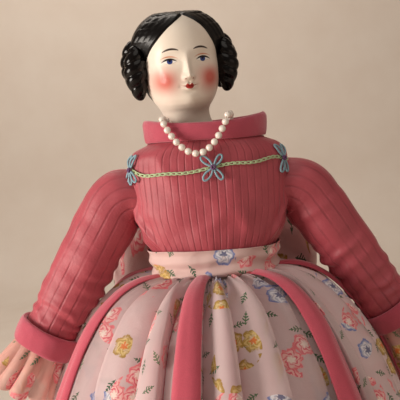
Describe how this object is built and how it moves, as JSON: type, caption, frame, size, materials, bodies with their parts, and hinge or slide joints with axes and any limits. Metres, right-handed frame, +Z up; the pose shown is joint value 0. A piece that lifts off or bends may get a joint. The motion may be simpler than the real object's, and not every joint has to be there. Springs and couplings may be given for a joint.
{
  "type": "porcelain doll",
  "caption": "China shoulder-head lady doll with a stuffed, jointed cloth body, pink crepe bodice, pearl necklace, sash and a full floral voile skirt.",
  "frame": {"origin": "on the floor, under the middle of the skirt's hem", "axes": "+Z up from the soles to the crown; the doll faces -Y, and her own left side is +X"},
  "size_m": [0.2736, 0.264, 0.354],
  "materials": {
    "glazed_porcelain": "fired clear glaze over painted china",
    "linen_thread": "waxed linen thread",
    "calico": "unbleached plain-weave calico",
    "pink_crepe": "crinkled dusky-pink crepe with woven ribs",
    "pink_flannel": "brushed pink flannel",
    "glass_button": "pressed milk glass",
    "green_floss": "stranded cotton, chain stitched",
    "blue_floss": "stranded cotton, lazy-daisy stitched",
    "plum_floss": "stranded cotton, knotted",
    "pearl": "pearlised",
    "gilt_metal": "polished gilt",
    "floral_organza": "sheer printed organza ribbon",
    "floral_voile": "sheer printed cotton voile",
    "pink_lining": "plain-weave cotton lining",
    "white_cotton": "stiffened white cotton lawn",
    "kid_leather": "stitched tan kid"
  },
  "bodies": {
    "torso": {"shoulder_head": "glazed_porcelain", "sew_ties": "linen_thread", "torso": "calico", "bodice": "pink_crepe", "collar": "pink_flannel", "back_buttons": "glass_button", "vine_stitch": "green_floss", "flower_petals": "blue_floss", "flower_knots": "plum_floss", "pearls": "pearl", "necklace_thread": "linen_thread", "necklace_clasp": "gilt_metal", "sash": "floral_organza", "bow_knot": "floral_organza", "bow_left_loop": "floral_organza", "bow_right_loop": "floral_organza", "bow_left_tail": "floral_organza", "bow_right_tail": "floral_organza", "skirt_waistband": "floral_voile", "skirt": "floral_voile", "skirt_bands": "pink_crepe", "underskirt": "pink_lining", "petticoat": "white_cotton", "petticoat_waistband": "white_cotton", "drawers_yoke": "white_cotton"},
    "left_upper_arm_body": {"left_upper_arm": "calico", "left_upper_sleeve": "pink_crepe"},
    "left_forearm_body": {"left_forearm": "kid_leather", "left_lower_sleeve": "pink_crepe", "left_cuff": "pink_flannel", "left_frill": "floral_voile"},
    "left_thigh_body": {"left_thigh": "calico", "left_drawers_leg": "white_cotton"},
    "left_shin_body": {"left_calf": "calico", "left_shin_tie": "linen_thread", "left_china_shin": "glazed_porcelain"},
    "right_upper_arm_body": {"right_upper_arm": "calico", "right_upper_sleeve": "pink_crepe"},
    "right_forearm_body": {"right_forearm": "kid_leather", "right_lower_sleeve": "pink_crepe", "right_cuff": "pink_flannel", "right_frill": "floral_voile"},
    "right_thigh_body": {"right_thigh": "calico", "right_drawers_leg": "white_cotton"},
    "right_shin_body": {"right_calf": "calico", "right_shin_tie": "linen_thread", "right_china_shin": "glazed_porcelain"}
  },
  "joints": [
    {"name": "left_shoulder", "type": "hinge", "parent": "torso", "child": "left_upper_arm_body", "pos_m": [0.053, 0, 0.251], "axis": [-1, 0, 0], "range_deg": [-30, 150]},
    {"name": "left_elbow", "type": "hinge", "parent": "left_upper_arm_body", "child": "left_forearm_body", "pos_m": [0.07844, 0, 0.21029], "axis": [-0.848, 0, -0.5299], "range_deg": [0, 65]},
    {"name": "left_hip", "type": "hinge", "parent": "torso", "child": "left_thigh_body", "pos_m": [0.0165, 0, 0.177], "axis": [-1, 0, 0], "range_deg": [-15, 30]},
    {"name": "left_knee", "type": "hinge", "parent": "left_thigh_body", "child": "left_shin_body", "pos_m": [0.0165, 0, 0.092], "axis": [1, 0, 0], "range_deg": [0, 65]},
    {"name": "right_shoulder", "type": "hinge", "parent": "torso", "child": "right_upper_arm_body", "pos_m": [-0.053, 0, 0.251], "axis": [-1, 0, 0], "range_deg": [-30, 150]},
    {"name": "right_elbow", "type": "hinge", "parent": "right_upper_arm_body", "child": "right_forearm_body", "pos_m": [-0.07844, 0, 0.21029], "axis": [-0.848, 0, 0.5299], "range_deg": [0, 65]},
    {"name": "right_hip", "type": "hinge", "parent": "torso", "child": "right_thigh_body", "pos_m": [-0.0165, 0, 0.177], "axis": [-1, 0, 0], "range_deg": [-15, 30]},
    {"name": "right_knee", "type": "hinge", "parent": "right_thigh_body", "child": "right_shin_body", "pos_m": [-0.0165, 0, 0.092], "axis": [1, 0, 0], "range_deg": [0, 65]}
  ]
}
